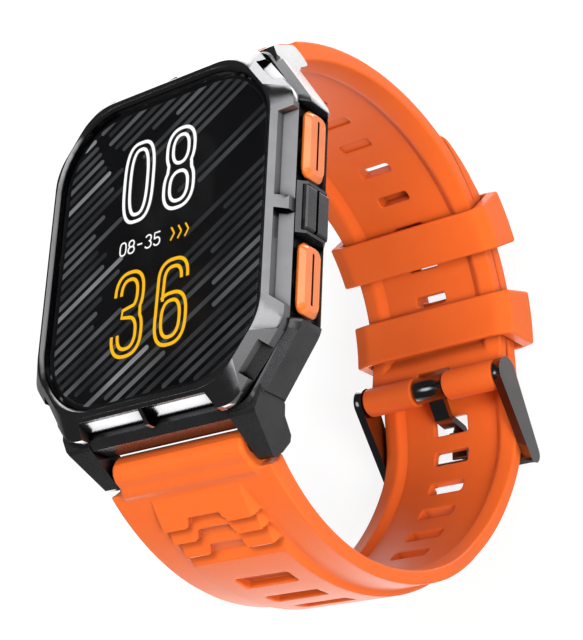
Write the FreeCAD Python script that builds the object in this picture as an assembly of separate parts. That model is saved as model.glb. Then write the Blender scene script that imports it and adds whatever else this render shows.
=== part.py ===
"""GPS running watch, buckled, built as separate pieces in millimetres.

Origin: centre of the outer face of the display glass.
+Z points out of the display, +Y to twelve o'clock, +X to three o'clock.
"""
import math
import os
import FreeCAD
import Part

os.makedirs("parts", exist_ok=True)
V = FreeCAD.Vector

# ---- driving dimensions -------------------------------------------------
STRAP_FIT = 22.0                  # gap between the lugs
GLASS = (17.25, 20.65, 9.8)       # half width, half length, corner radius
GLASS_T = 1.1
LIP_TOP = 0.3                     # bezel lip above the glass
SHOULDER = -1.65                  # foot of the bezel chamfer
SEAM = -2.75                      # underside of the bezel
SEAM_GAP = 0.12
CASE_TOP = SEAM - SEAM_GAP
CASE_BACK = -10.1
BEZEL = (19.95, 23.75, 6.8, 8.85)  # half width, half length, corner cut
CASE = (20.95, 24.4, 6.5, 9.7)
WALL = 2.5
COVER = (16.6, 19.9, 5.6, 7.6)

BAR_Y = 25.9                      # spring bar axis from the centre
BAR_Z = -8.8
TUBE_R = 0.9
BARREL_R = 2.05                   # strap end around the tube
LUG_IN = STRAP_FIT / 2
LUG_FLANK = ((15.7, 21.6), (13.0, 28.3))   # outer face of a lug, in plan
RUN = 0.05                        # running clearance
SCREW_AT = (12.6, 14.9)           # back screw in the first quarter

BUTTON_Y = 8.8
BUTTON_Z = -5.4
BUTTON = (9.1, 3.85, 1.3)         # length, height, corner radius
BUTTON_FACE = 20.95
WELL_FLOOR = 19.3
TRAVEL = 0.6

LOOP = (5.4, -36.7)               # centre of the arc where both straps nest
LOOP_R = 25.25                    # wrist side of the short strap
FLANGE = 2.1                      # strap edge thickness
RIB = 0.9                         # raised middle, and depth of the channel
NEST_GAP = 0.12
LEAVE = 8.0                       # where the long strap leaves the arc, degrees
STRAP_W = 12.75                   # half width at the lugs
TAIL_W = 11.45                    # half width where the straps overlap
BUCKLE = (0.6, -61.8)             # buckle bar axis
BUCKLE_PIN = 0.8
BUCKLE_BARREL = 2.2
SLOT_PITCH = 5.0                  # adjusting slots in the long strap
SHORT_PITCH = 5.35                # air slots in the short strap


# ---- plain shapes -------------------------------------------------------
def box(x0, x1, y0, y1, z0, z1):
    return Part.makeBox(x1 - x0, y1 - y0, z1 - z0, V(x0, y0, z0))


def rod_x(r, x0, x1, y, z):
    return Part.makeCylinder(r, x1 - x0, V(x0, y, z), V(1, 0, 0))


def rod_y(r, y0, y1, x, z):
    return Part.makeCylinder(r, y1 - y0, V(x, y0, z), V(0, 1, 0))


def rod_z(r, z0, z1, x, y):
    return Part.makeCylinder(r, z1 - z0, V(x, y, z0))


def fuse(shapes):
    whole = shapes[0].multiFuse(shapes[1:]) if len(shapes) > 1 else shapes[0]
    return whole.removeSplitter()


def rounded(points, r):
    """Closed wire through a convex polygon, every corner rounded to r."""
    edges = []
    last = None
    first = None
    count = len(points)
    for i in range(count):
        before = points[i - 1]
        here = points[i]
        after = points[(i + 1) % count]
        a = (before - here).normalize()
        b = (after - here).normalize()
        half = math.acos(max(-1, min(1, a.dot(b)))) / 2
        cut = r / math.tan(half)
        start = here + a * cut
        end = here + b * cut
        middle = (a + b).normalize()
        top = here + middle * (r / math.sin(half) - r)
        if last is None:
            first = start
        else:
            edges.append(Part.makeLine(last, start))
        edges.append(Part.Arc(start, top, end).toShape())
        last = end
    edges.append(Part.makeLine(last, first))
    return Part.Wire(edges)


def octagon(size, z, inset=0.0):
    """Eight corners of the case outline, moved inward by inset."""
    hx, hy, cx, cy = size
    slope = math.hypot(cx, cy)
    nx = cy / slope
    ny = cx / slope
    hx2 = hx - inset
    hy2 = hy - inset
    reach = hx * nx + (hy - cy) * ny - inset
    cut_y = (reach - hx2 * nx) / ny
    cut_x = (reach - hy2 * ny) / nx
    quarter = [(hx2, cut_y), (cut_x, hy2)]
    ring = quarter + [(-x, y) for x, y in reversed(quarter)]
    ring += [(-x, -y) for x, y in quarter]
    ring += [(x, -y) for x, y in reversed(quarter)]
    return [V(x, y, z) for x, y in ring]


def slab(size, z0, z1, r=3.0, inset=0.0):
    wire = rounded(octagon(size, z0, inset), r)
    return Part.Face(wire).extrude(V(0, 0, z1 - z0))


def pane(hx, hy, r, z0, z1):
    corners = [V(hx, -hy, z0), V(hx, hy, z0), V(-hx, hy, z0), V(-hx, -hy, z0)]
    return Part.Face(rounded(corners, r)).extrude(V(0, 0, z1 - z0))


def loft(wires):
    return Part.makeLoft(wires, True, True)


def plate_yz(points, x0, x1):
    wire = Part.makePolygon([V(x0, y, z) for y, z in points + points[:1]])
    return Part.Face(wire).extrude(V(x1 - x0, 0, 0))


def plate_xz(points, y0, y1):
    wire = Part.makePolygon([V(x, y0, z) for x, z in points + points[:1]])
    return Part.Face(wire).extrude(V(0, y1 - y0, 0))


def plate_xy(points, z0, z1):
    wire = Part.makePolygon([V(x, y, z0) for x, y in points + points[:1]])
    return Part.Face(wire).extrude(V(0, 0, z1 - z0))


def flip_x(shape):
    return shape.mirror(V(0, 0, 0), V(1, 0, 0))


def flip_y(shape):
    return shape.mirror(V(0, 0, 0), V(0, 1, 0))


def both_x(shape):
    return [shape, flip_x(shape)]


def both_y(shape):
    return [shape, flip_y(shape)]


def four(shape):
    return both_x(shape) + [flip_y(s) for s in both_x(shape)]


def save(name, shape):
    shape.exportStep("parts/" + name + ".step")


def group(name, shapes):
    save(name, Part.makeCompound(shapes))


# ---- case ---------------------------------------------------------------
def side_pockets():
    """Long stepped pockets in the chamfer of the right side."""
    section = [(18.67, -0.34), (18.67, -1.48), (19.95, -2.76), (22, -2.76)]
    section += [(22, 3), (18.67, 3)]
    solid = plate_xz(section, 0.8, 14.5)
    ends = plate_xy([(18, 0.8), (22.5, 1.0), (22.5, 15.0), (18, 11.5)], -4, 4)
    pocket = solid.common(ends)
    return [pocket, flip_y(pocket)]


def end_pockets():
    """The same pockets in the chamfer of the six o'clock end."""
    section = [(-22.2, -0.34), (-22.2, -0.6), (-22.75, -2.78)]
    section += [(-26, -2.78), (-26, 3), (-22.2, 3)]
    solid = plate_yz(section, 0.28, 12)
    ends = plate_xy([(0.28, -21), (9.5, -21), (11.6, -26), (0.28, -26)], -4, 4)
    pocket = solid.common(ends)
    return [pocket, flip_x(pocket)]


def corner_slot():
    """Pocket in the corner chamfer, open along the seam."""
    section = [(-0.95, -0.7), (-0.95, -1.6), (0.1, -2.78), (2, -2.78), (2, 3), (-0.95, 3)]
    slot = plate_xz(section, -2.2, 2.2)
    angle = math.degrees(math.atan2(BEZEL[2], BEZEL[3]))
    slot.rotate(V(0, 0, 0), V(0, 0, 1), angle)
    slot.translate(V(BEZEL[0] - BEZEL[2] / 2, BEZEL[1] - BEZEL[3] / 2, 0))
    return slot


def bezel():
    lip = rounded(octagon(BEZEL, LIP_TOP, 1.95), 7.0)
    shoulder = rounded(octagon(BEZEL, SHOULDER), 3.4)
    foot = rounded(octagon(BEZEL, SEAM), 3.4)
    body = loft([foot, shoulder])
    body = body.fuse(loft([shoulder, lip]))
    skirt = slab(CASE, SEAM - 1.2, SEAM, 3.0, WALL + 0.1)
    body = body.fuse(skirt)
    hx, hy, r = GLASS
    seat = pane(hx + 0.05, hy + 0.05, r, -GLASS_T - 0.1, 1)
    mouth = [pane_wire(hx + 0.05, hy + 0.05, r, -0.15)]
    mouth.append(pane_wire(hx + 0.5, hy + 0.5, r + 0.45, LIP_TOP))
    throat = pane(hx - 0.75, hy - 0.75, r - 0.7, -5, 0)
    bay = slab(CASE, SEAM - 2, -2.3, 2.4, WALL + 0.9)
    body = body.cut(fuse([seat, loft(mouth), throat]))
    body = body.cut(bay)
    cuts = side_pockets() + [flip_x(s) for s in side_pockets()]
    cuts += end_pockets() + [flip_y(s) for s in end_pockets()]
    cuts += four(corner_slot())
    for cutter in cuts:
        body = body.cut(cutter)
    return body


def pane_wire(hx, hy, r, z):
    corners = [V(hx, -hy, z), V(hx, hy, z), V(-hx, hy, z), V(-hx, -hy, z)]
    return rounded(corners, r)


def lug():
    """One lug at the right of the six o'clock end."""
    side = [(-18.0, -2.9), (-24.0, -3.3), (-24.4, -3.7), (-27.7, -9.0)]
    side += [(-27.7, -9.6), (-27.0, -10.4), (-25.7, -11.0), (-25.0, -10.7)]
    side += [(-23.4, -8.5), (-21.9, -7.6), (-18.0, -7.6)]
    return plate_yz(side, LUG_IN, LUG_FLANK[0][0])


def lug_flanks():
    """Four cutters that give the lugs and the corners one flat outer face."""
    (x0, y0), (x1, y1) = LUG_FLANK
    slope = (x1 - x0) / (y1 - y0)
    corners = [(x0 - slope * 0.4, y0 + 0.4), (x1 + slope, y1 + 1), (30, y1 + 1)]
    corners.append((30, y0 + 0.4))
    wedge = plate_xy(corners, -13, 0)
    trim = box(x1 - 3, x1 + 3, y1 - 0.0, y1 + 3, -13, 0)
    return four(wedge.fuse(trim))


def case_body():
    rings = [rounded(octagon(CASE, CASE_TOP, 0.95), 3.2)]
    rings.append(rounded(octagon(CASE, -3.9), 3.4))
    rings.append(rounded(octagon(CASE, -7.5), 3.4))
    rings.append(rounded(octagon(CASE, CASE_BACK, 2.6), 3.2))
    body = loft(rings[:2]).fuse(loft(rings[1:3])).fuse(loft(rings[2:]))
    body = fuse([body] + four(lug()))
    for wedge in lug_flanks():
        body = body.cut(wedge)
    return body


def button_well(sign):
    """Recess around one button, open to the side."""
    y = sign * BUTTON_Y
    low = y - 5.4
    high = y + 5.4
    section = [(WELL_FLOOR, -8.1), (WELL_FLOOR, -3.2), (19.9, -2.0)]
    section += [(23, -2.0), (23, -8.6), (20.4, -8.6)]
    return plate_xz(section, low, high)


def case_cuts():
    inner = slab(CASE, -9.0, 0, 2.4, WALL)
    floor = slab(COVER, -12, -8.9, 2.4)
    cuts = [inner, floor, button_well(1), button_well(-1)]
    for sign in (1, -1):
        y = sign * BUTTON_Y
        cuts.append(rod_x(1.25, 10, 22, y, BUTTON_Z))
        cuts.append(rod_x(1.75, 18.6, 22, y, BUTTON_Z))
    guard = box(20.0, 23, -3.0, 3.0, -8.0, -3.4)
    cuts.append(guard)
    cuts += both_y(rod_x(BARREL_R + 0.45, -LUG_IN, LUG_IN, BAR_Y, BAR_Z))
    cuts += four(rod_x(0.45, LUG_IN - 1, LUG_IN + 1.7, BAR_Y, BAR_Z))
    cuts.append(rod_x(0.8, -22, -10, 0, -5.4))
    for z in (-4.4, -5.4, -6.4):
        cuts.append(box(-22, -20.2, 6.5, 11.5, z - 0.25, z + 0.25))
    return cuts


def mid_case():
    body = case_body()
    for cutter in case_cuts():
        body = body.cut(cutter)
    inside = slab(CASE, -9, -5, 2.4, WALL - 0.2)
    for ear in four(screw_ear().common(inside)):
        body = body.fuse(ear)
    return body


def screw_ear():
    """Boss for a back screw, carried by a web from the corner wall."""
    x, y = SCREW_AT
    ear = box(0, 7, -1.8, 1.8, -8.9, -5.5)
    ear.rotate(V(0, 0, 0), V(0, 0, 1), 33)
    ear.translate(V(x, y, 0))
    ear = ear.fuse(rod_z(1.8, -8.9, -5.5, x, y))
    return ear.cut(rod_z(0.62, -9, -5.9, x, y))


def button_guard():
    """Raised grooved bridge between the two buttons."""
    outline = [(20.05, -7.9), (20.05, -3.5), (20.95, -3.5), (21.2, -3.75)]
    outline += [(21.2, -7.6), (20.9, -7.9)]
    body = plate_xz(outline, -2.95, 2.95)
    body = body.cut(box(20.65, 22, -3.1, 3.1, -5.7, -5.3))
    ends = plate_xy([(19, -2.95), (19, 2.95), (20.8, 2.95), (21.3, 2.6)]
                    + [(21.3, -2.6), (20.8, -2.95)], -9, -3)
    return body.common(ends)


def button(sign):
    """Button cap with a slit, a stem and the groove of its seal."""
    length, height, r = BUTTON
    y = sign * BUTTON_Y
    z = BUTTON_Z
    face = []
    for x, shrink in ((WELL_FLOOR + TRAVEL + 0.1, 0), (BUTTON_FACE - 0.6, 0),
                      (BUTTON_FACE, 0.55)):
        hy = length / 2 - shrink
        hz = height / 2 - shrink
        corners = [V(x, y - hy, z - hz), V(x, y + hy, z - hz)]
        corners += [V(x, y + hy, z + hz), V(x, y - hy, z + hz)]
        face.append(rounded(corners, r - shrink * 0.5))
    cap = loft(face[:2]).fuse(loft(face[1:]))
    slit = box(BUTTON_FACE - 0.5, 23, y - 3.3, y + 3.3, z - 0.17, z + 0.17)
    cap = cap.cut(slit)
    stem = rod_x(1.2, 15.9, WELL_FLOOR + TRAVEL + 0.2, y, z)
    stem = stem.cut(ring_x(0.75, 1.4, 16.3, 16.7, y, z))
    return fuse([cap, stem])


def ring_x(inner, outer, x0, x1, y, z):
    return rod_x(outer, x0, x1, y, z).cut(rod_x(inner, x0 - 1, x1 + 1, y, z))


def ring_z(inner, outer, z0, z1, x=0, y=0):
    return rod_z(outer, z0, z1, x, y).cut(rod_z(inner, z0 - 1, z1 + 1, x, y))


def make_case():
    save("bezel", bezel())
    save("mid_case", mid_case())
    save("button_guard", button_guard())
    for name, sign in (("upper_button", 1), ("lower_button", -1)):
        y = sign * BUTTON_Y
        save(name, button(sign))
        save(name + "_clip", ring_x(0.78, 1.7, 16.32, 16.68, y, BUTTON_Z))
    seals = [ring_x(1.22, 1.74, 18.65, 19.15, s * BUTTON_Y, BUTTON_Z) for s in (1, -1)]
    group("button_seals", seals)
    vent = rod_x(0.75, -20.8, -18.6, 0, -5.4)
    save("pressure_vent", vent.cut(rod_x(0.3, -21, -18, 0, -5.4)))


# ---- display stack ------------------------------------------------------
def cover_glass():
    hx, hy, r = GLASS
    low = pane(hx, hy, r, -GLASS_T, -0.2)
    rim = loft([pane_wire(hx, hy, r, -0.2), pane_wire(hx - 0.2, hy - 0.2, r - 0.2, 0)])
    return fuse([low, rim])


def make_display():
    hx, hy, r = GLASS
    save("cover_glass", cover_glass())
    glue = pane(hx - 0.05, hy - 0.05, r, -GLASS_T - 0.1, -GLASS_T)
    save("display_glue", glue.cut(pane(hx - 0.75, hy - 0.75, r - 0.7, -2, 0)))
    save("display_panel", pane(hx - 0.8, hy - 0.8, r - 0.8, -2.2, -GLASS_T))
    tray = pane(hx - 0.9, hy - 0.9, r - 0.9, -3.0, -2.25)
    tray = tray.cut(pane(12, 15, 4, -3.5, -2.55))
    save("display_tray", tray.cut(box(-6, 6, -19.5, -17.2, -3.5, -2)))
    flex = box(-4, 4, -18.6, -18.45, -3.9, -2.2)
    save("display_flex", flex.fuse(box(-4, 4, -18.6, -12, -4.05, -3.9)))
    ring = slab(CASE, -4.2, -3.2, 2.2, WALL + 1.0)
    ring = ring.cut(slab(CASE, -5, -3, 2.0, WALL + 1.5))
    save("gps_antenna", ring.cut(box(-2, 2, 15, 25, -5, -3)))


# ---- electronics --------------------------------------------------------
def main_board():
    board = slab(CASE, -5.0, -4.2, 2.0, WALL + 2.6)
    for sign in (1, -1):
        board = board.cut(box(13.3, 22, sign * BUTTON_Y - 3, sign * BUTTON_Y + 3, -6, -4))
    board = board.cut(box(-19, -13.4, -10.6, 0.4, -6, -4))
    return board


def make_electronics():
    save("main_board", main_board())
    save("processor_shield", box(-6, 7, -3, 9, -4.2, -3.2))
    chips = [box(8.5, 12.5, -9, -4, -4.2, -3.4), box(-12.5, -8.5, 3, 9, -4.2, -3.3)]
    chips += [box(9, 12, 5, 9, -4.2, -3.5), box(-3, 3, 12, 16, -4.2, -3.3)]
    group("board_chips", chips)
    save("battery", pane(12.6, 8.4, 1.6, -8.6, -5.2).translated(V(-0.5, 4.3, 0)))
    save("battery_pad", pane(11.6, 7.4, 1.2, -5.2, -5.0).translated(V(-0.5, 4.3, 0)))
    save("battery_socket", box(5.5, 10.5, -8.6, -6.4, -6.2, -5.0))
    save("beeper", rod_z(4.6, -6.1, -5.5, 2.0, -13.6))
    switches = [box(13.6, 15.2, s * BUTTON_Y - 2, s * BUTTON_Y + 2, -7.2, -3.9)
                for s in (1, -1)]
    group("button_switches", switches)
    flex = box(13.42, 13.58, -11.5, 11.5, -7.2, -5.05)
    save("button_flex", flex)


MOTOR = (-15.9, -4.8, -6.6)        # motor axis, along Y


def make_motor():
    x, y, z = MOTOR
    can = rod_y(1.9, y - 5.2, y + 1.6, x, z).cut(rod_y(0.36, y + 0.5, y + 2, x, z))
    save("motor_can", can)
    save("motor_shaft", rod_y(0.32, y + 0.6, y + 4.9, x, z))
    half = rod_y(1.75, y + 1.9, y + 4.7, x, z)
    half = half.cut(box(x - 3, x + 3, y, y + 6, z + 0.45, z + 3))
    save("motor_weight", half.cut(rod_y(0.32, y, y + 6, x, z)))


# ---- back ---------------------------------------------------------------
SCREWS = [(sx * SCREW_AT[0], sy * SCREW_AT[1]) for sx in (1, -1) for sy in (1, -1)]


def back_cover():
    flat = slab(COVER, -9.9, -9.15, 2.2, 0.05)
    low = rounded(octagon(COVER, -9.9, 0.05), 2.2)
    rim = rounded(octagon(COVER, -10.5, 0.9), 2.0)
    cover = flat.fuse(loft([low, rim]))
    base = Part.Wire(Part.makeCircle(13.2, V(0, 0, -10.4)))
    crown = Part.Wire(Part.makeCircle(11.4, V(0, 0, -11.6)))
    cover = cover.fuse(loft([base, crown]))
    cover = cover.cut(rod_z(9.55, -12, -10.7, 0, 0))
    cover = cover.cut(rod_z(8.6, -11, -8, 0, 0))
    for x, y in SCREWS:
        cover = cover.cut(rod_z(0.75, -12, -8, x, y))
        cover = cover.cut(rod_z(1.3, -12, -9.7, x, y))
    for x in (-3.6, -1.2, 1.2, 3.6):
        cover = cover.cut(rod_z(0.82, -12, -8, x, 15.6))
    return cover


def back_screw(x, y):
    head = rod_z(1.2, -10.3, -9.72, x, y)
    shank = rod_z(0.6, -9.8, -6.2, x, y)
    slot = box(x - 0.9, x + 0.9, y - 0.15, y + 0.15, -11, -10.05)
    cross = box(x - 0.15, x + 0.15, y - 0.9, y + 0.9, -11, -10.05)
    return head.fuse(shank).cut(slot).cut(cross)


def sensor_window():
    rim = rod_z(9.5, -11.3, -10.75, 0, 0)
    sphere = Part.makeSphere(34.0, V(0, 0, 21.75))
    cap = sphere.common(rod_z(9.3, -13, -11.2, 0, 0))
    return fuse([rim, cap])


def make_back():
    save("back_cover", back_cover())
    seal = slab(COVER, -9.12, -8.92, 2.0, 0.15)
    seal = seal.cut(slab(COVER, -10, -8, 1.8, 0.75))
    for x, y in SCREWS:
        seal = seal.cut(rod_z(1.8, -10, -8, x, y))
    save("back_gasket", seal)
    group("back_screws", [back_screw(x, y) for x, y in SCREWS])
    save("sensor_window", sensor_window())
    save("sensor_board", rod_z(8.4, -9.5, -8.9, 0, 0))
    wall = ring_z(7.6, 8.3, -10.6, -9.5)
    save("light_wall", fuse([wall, ring_z(2.2, 2.9, -10.6, -9.5)]
                            + [box(2.8, 7.7, -0.3, 0.3, -10.6, -9.5),
                               box(-7.7, -2.8, -0.3, 0.3, -10.6, -9.5)]))
    group("sensor_leds", [box(x - 0.7, x + 0.7, y - 0.7, y + 0.7, -10.1, -9.5)
                          for x, y in ((0, 0), (5.2, 3), (-5.2, 3), (0, -5.4))])
    group("sensor_detectors", [box(x - 1.1, x + 1.1, y - 0.9, y + 0.9, -10.0, -9.5)
                               for x, y in ((0, 5.2), (5, -3), (-5, -3))])
    pads = []
    for x in (-3.6, -1.2, 1.2, 3.6):
        pads.append(rod_z(0.8, -10.55, -9.0, x, 15.6))
    group("charging_pads", pads)


# ---- spring bars --------------------------------------------------------
def make_bar(name, sign):
    """Tube, spring and two pins; the right pin has the release knob."""
    y = sign * BAR_Y
    tube = ring_x(0.62, TUBE_R, -9.6, 9.6, y, BAR_Z)
    slot = box(5.2, 9.7, y - 0.35, y + 0.35, BAR_Z - 1.5, BAR_Z)
    save(name + "_bar_tube", tube.cut(slot))
    save(name + "_bar_spring", ring_x(0.3, 0.56, -3.0, 3.0, y, BAR_Z))
    plain = fuse([rod_x(0.38, -12.3, -9.0, y, BAR_Z), rod_x(0.57, -9.4, -4.6, y, BAR_Z)])
    save(name + "_pin_left", plain)
    stem = fuse([rod_x(0.38, 9.0, 12.3, y, BAR_Z), rod_x(0.57, 4.6, 9.4, y, BAR_Z)])
    knob = rod_z(0.3, BAR_Z - 2.6, BAR_Z, 7.9, y)
    knob = knob.fuse(rod_z(0.75, BAR_Z - 3.2, BAR_Z - 2.4, 7.9, y))
    save(name + "_pin_right", fuse([stem, knob]))


# ---- strap runs ---------------------------------------------------------
def outward(heading, turn):
    a = math.radians(heading)
    return V(0, turn * math.sin(a), -turn * math.cos(a))


def trace(start, heading, turn, moves, out):
    """Edges of a run of (radius, degrees) arcs; radius 0 is a line of that length."""
    base = V(0, start[0], start[1])
    edges = []
    for radius, amount in moves:
        normal = outward(heading, turn)
        if radius == 0:
            a = math.radians(heading)
            step = V(0, math.cos(a), math.sin(a)) * amount
            edges.append(Part.makeLine(base + normal * out, base + step + normal * out))
            base = base + step
            continue
        centre = base - normal * radius
        middle = outward(heading + turn * amount / 2, turn)
        heading = heading + turn * amount
        finish = outward(heading, turn)
        reach = radius + out
        edges.append(Part.Arc(centre + normal * reach, centre + middle * reach,
                              centre + finish * reach).toShape())
        base = centre + finish * radius
    return edges


def end_of(edges):
    last = edges[-1]
    return last.valueAt(last.LastParameter)


def start_of(edges):
    return edges[0].valueAt(edges[0].FirstParameter)


def band(inner, outer, half):
    """Solid between two runs, 2 x half wide."""
    edges = inner + outer
    edges.append(Part.makeLine(start_of(inner), start_of(outer)))
    edges.append(Part.makeLine(end_of(inner), end_of(outer)))
    wire = Part.Wire(Part.__sortEdges__(edges))
    face = Part.Face(wire)
    face.translate(V(-half, 0, 0))
    return face.extrude(V(2 * half, 0, 0))


def rail(edges, normal, foot, top, height, sink):
    """Trapezium swept along a run: foot and top are half widths."""
    base = start_of(edges)
    a = base - normal * sink
    b = base + normal * height
    corners = [V(-foot, a.y, a.z), V(foot, a.y, a.z), V(foot, base.y, base.z)]
    corners += [V(top, b.y, b.z), V(-top, b.y, b.z), V(-foot, base.y, base.z)]
    section = Part.makePolygon(corners + corners[:1])
    sweep = Part.BRepOffsetAPI.MakePipeShell(Part.Wire(edges))
    sweep.setBiNormalMode(V(1, 0, 0))
    sweep.add(section)
    sweep.build()
    sweep.makeSolid()
    return sweep.shape()


def spot(start, heading, turn, moves, distance):
    """Point and outward normal at a distance along a run."""
    left = distance
    done = []
    for radius, amount in moves:
        length = amount if radius == 0 else math.radians(amount) * radius
        if left <= length:
            part = left if radius == 0 else math.degrees(left / radius)
            done.append((radius, part))
            if radius:
                heading = heading + turn * part
            break
        done.append((radius, amount))
        heading = heading + turn * (amount if radius else 0)
        left = left - length
    return end_of(trace(start, heading_start(heading, turn, done), turn, done, 0.0)), heading


def heading_start(heading, turn, moves):
    total = sum(amount for radius, amount in moves if radius)
    return heading - turn * total


def slot_at(point, heading, turn, half_w, half_l, low, high):
    """Block square to the strap at a point, from low to high along the normal."""
    block = box(-half_w, half_w, -half_l, half_l, low, high)
    normal = outward(heading, turn)
    angle = math.degrees(math.atan2(-normal.y, normal.z))
    block.rotate(V(0, 0, 0), V(1, 0, 0), angle)
    block.translate(point)
    return block


def taper(wide, narrow):
    """Everything inside the tapering outline of a strap, seen from the lugs."""
    side = [(wide, 0), (wide, BAR_Z - 2), (wide - 0.45, -47.0), (narrow, -55.0)]
    side.append((narrow, -90))
    ring = side + [(-x, z) for x, z in reversed(side)]
    return plate_xz(ring, -60, 60)


# short strap: starts at the buckle bar, ends at the twelve o'clock lugs
SHORT_START = math.degrees(math.asin((BUCKLE[0] - LOOP[0]) / (LOOP_R + FLANGE / 2)))
SHORT_INNER = [(LOOP_R, 58.2 - SHORT_START), (35.84, 22.0), (35.84, 41.9)]
SHORT_OUTER = [(LOOP_R, 58.2 - SHORT_START), (35.84, 22.0), (39.8, 41.5)]
# long strap: starts where it leaves the nest arc, ends at the six o'clock lugs
LONG_R = LOOP_R + FLANGE + NEST_GAP
LONG_INNER = [(0, 14.18), (14.6, 31.35), (36.32, 67.14), (28.08, 44.4)]
LONG_OUTER = [(0, 14.18), (14.6, 31.35), (36.32, 67.14), (32.0, 44.5)]
TAIL_MOVES = [(LOOP_R, 58.2 - LEAVE), (35.84, 12.0)]
TAIL_LENGTH = math.radians(58.2 - LEAVE) * LOOP_R + math.radians(12.0) * 35.84
TAIL_CAP = 48.0                   # where the thicker end of the tail starts, degrees
TONGUE_AT = 12.8                  # tongue slot, along the strap from LEAVE
KEEPER = (13.9, 7.2, 0.85)       # half width, length, wall
KEEPER_CUT = (2.5, 0.85)         # corner chamfer, across and deep
KEEPERS = (("keeper_near", 10.2, 0.6), ("keeper_far", 39.6, 0.35))
FRAME_X = (11.6, 12.9)           # buckle side arm, inner and outer face
CROSSBAR = (-9.6, -69.25)


def on_loop(radius, angle):
    a = math.radians(angle)
    return (LOOP[0] + radius * math.sin(a), LOOP[1] - radius * math.cos(a))


def root(sign, lip):
    """Strap end that wraps the spring bar and fills the gap to the strap."""
    y = sign * BAR_Y
    barrel = rod_x(BARREL_R, -LUG_IN + 0.15, LUG_IN - 0.15, y, BAR_Z)
    top = BAR_Z + BARREL_R
    flat = [(y - sign * 0.2, top - 0.05), (y + sign * 0.2, top), (y + sign * 1.0, top - 0.1)]
    flat += [(y + sign * 1.8, top - 0.7)]
    flat += [(sign * lip[0][0], lip[0][1]), (sign * lip[1][0], lip[1][1])]
    flat += [(y + sign * 0.6, BAR_Z - BARREL_R + 0.1), (y - sign * 1.0, BAR_Z)]
    web = plate_yz(flat, -LUG_IN + 0.15, LUG_IN - 0.15)
    body = barrel.fuse(web)
    return body


def strap_bore(sign):
    y = sign * BAR_Y
    bore = rod_x(TUBE_R + RUN, -20, 20, y, BAR_Z)
    knob = box(5.0, 9.9, y - 0.95, y + 0.95, BAR_Z - 5, BAR_Z)
    return bore.fuse(knob)


def lug_relief(sign):
    """Pocket for the lug tips beside the strap root."""
    ring = [(20, -5), (20, -6), (22.9, -8.6), (24.75, -11.1), (25.7, -11.4)]
    ring += [(27.35, -10.75), (28.1, -9.9), (28.1, -9.25), (40, -9.25), (40, -5)]
    relief = plate_yz([(sign * y, z) for y, z in ring], LUG_IN - 0.15, 20)
    return [relief, flip_x(relief)]


def strap_upper():
    start = on_loop(LOOP_R, SHORT_START)
    inner = trace(start, SHORT_START, 1, SHORT_INNER, 0.0)
    outer = trace(start, SHORT_START, 1, SHORT_OUTER, FLANGE)
    body = band(inner, outer, STRAP_W).common(taper(STRAP_W, TAIL_W))
    normal = outward(SHORT_START, 1)
    ribbed = trace(start, SHORT_START, 1, SHORT_OUTER[:-1] + [(39.8, 18.0)], FLANGE)
    body = body.fuse(rail(ribbed, normal, 8.5, 7.7, RIB, 0.4))
    body = body.cut(rail(inner, normal * -1, 9.0, 7.75, 0.001, 0.95))
    body = body.fuse(rod_x(BUCKLE_BARREL, -TAIL_W, TAIL_W, *BUCKLE))
    lips = [(end_of(outer).y, end_of(outer).z), (end_of(inner).y, end_of(inner).z)]
    body = body.fuse(root(1, lips))
    body = body.cut(strap_bore(1))
    for relief in lug_relief(1):
        body = body.cut(relief)
    body = body.cut(rod_x(BUCKLE_PIN + RUN, -20, 20, *BUCKLE))
    notch = box(-2.75, 2.75, BUCKLE[0] - 4, BUCKLE[0] + 2.6, BUCKLE[1] - 4, BUCKLE[1] + 4)
    body = body.cut(notch)
    for k in range(8):
        where, heading = spot(start, SHORT_START, 1, SHORT_INNER, 13.9 + SHORT_PITCH * k)
        depth = 5.0 if k < 5 else 1.3
        body = body.cut(slot_at(where, heading, 1, 2.6, 0.75, -1.0, depth))
    return body


def tail_cap():
    """Full width thickening of the tail beyond the far keeper."""
    start = on_loop(LOOP_R, TAIL_CAP)
    moves = [(LOOP_R, 58.2 - TAIL_CAP), TAIL_MOVES[1]]
    low = trace(start, TAIL_CAP, 1, moves, FLANGE + NEST_GAP + 1.0)
    high = trace(start, TAIL_CAP, 1, moves, 2 * FLANGE + NEST_GAP + RIB)
    return band(low, high, STRAP_W)


def tail_tip(nest):
    """Cutters that round the corners of the tail and thin it to a wedge."""
    tip, heading = spot(nest, LEAVE, 1, TAIL_MOVES, TAIL_LENGTH)
    corners = slot_at(tip, heading, 1, 20, 3.5, -2, 12)
    corners = corners.cut(slot_at(tip, heading, 1, 9.5, 3.5, -3, 13))
    for x in (-9.5, 9.5):
        base = spot(nest, LEAVE, 1, TAIL_MOVES, TAIL_LENGTH - 3.5)[0]
        rod = Part.makeCylinder(3.2, 18, V(x, 0, -5))
        normal = outward(heading, 1)
        rod.rotate(V(0, 0, 0), V(1, 0, 0), math.degrees(math.atan2(-normal.y, normal.z)))
        corners = corners.cut(rod.translated(base))
    thin = TAIL_LENGTH - 14.5
    where, angle = spot(nest, LEAVE, 1, TAIL_MOVES, thin)
    top = where + outward(angle, 1) * (2 * FLANGE + NEST_GAP + RIB)
    slope = slot_at(top, angle + 17, 1, 20, 17, 0, 6)
    return [corners, slope]


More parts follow.
